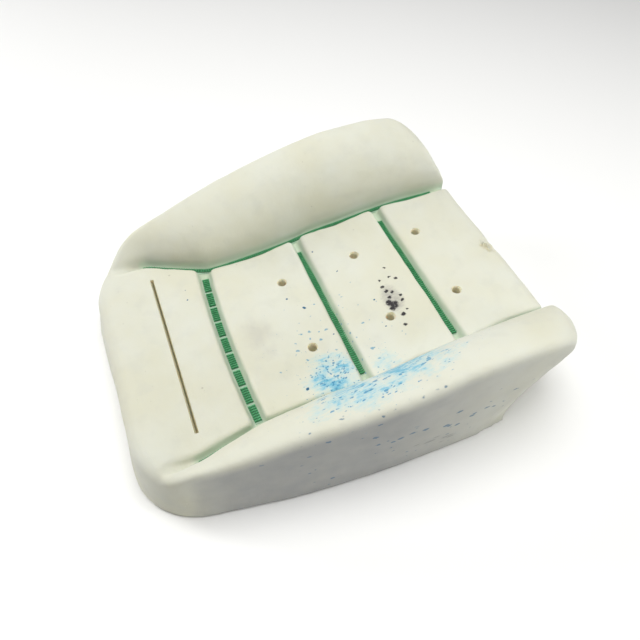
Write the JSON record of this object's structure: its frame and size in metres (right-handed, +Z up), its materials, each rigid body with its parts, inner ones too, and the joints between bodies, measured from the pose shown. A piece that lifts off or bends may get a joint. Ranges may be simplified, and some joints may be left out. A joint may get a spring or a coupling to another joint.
{
  "type": "car seat cushion foam pad",
  "caption": "Moulded foam cushion pad for a car front seat: two side bolsters, a recessed insert with vent holes, and green hook tapes moulded into its cover trenches.",
  "frame": {"origin": "middle of the flat underside, under the centre of the pad's overall box", "axes": "+Z up, +Y towards the rear lip under the backrest, +X towards the left-hand bolster; the nose is at -Y"},
  "size_m": [0.4724, 0.568, 0.183],
  "materials": {
    "foam": "flexible polyurethane foam with a moulded skin, matt cream",
    "tape": "thin woven carrier tape, pale green",
    "hooks": "moulded nylon hooks, mid green",
    "wire": "plain steel wire"
  },
  "bodies": {
    "root": {"foam_pad": "foam", "bolster_tape_left": "tape", "bolster_tape_right": "tape", "middle_tape": "tape", "rear_tape": "tape", "front_tape": "tape", "bolster_hook_strip_left": "hooks", "bolster_hook_strip_right": "hooks", "middle_hook_strip": "hooks", "rear_hook_strip": "hooks", "front_hook_block_1": "hooks", "front_hook_block_2": "hooks", "front_hook_block_3": "hooks", "front_hook_block_4": "hooks", "front_hook_block_5": "hooks", "front_hook_block_6": "hooks", "front_hook_block_7": "hooks", "front_hook_block_8": "hooks", "front_hook_block_9": "hooks", "bolster_wire_left": "wire", "bolster_wire_right": "wire", "middle_wire": "wire", "rear_wire": "wire", "front_wire": "wire"}
  },
  "joints": []
}
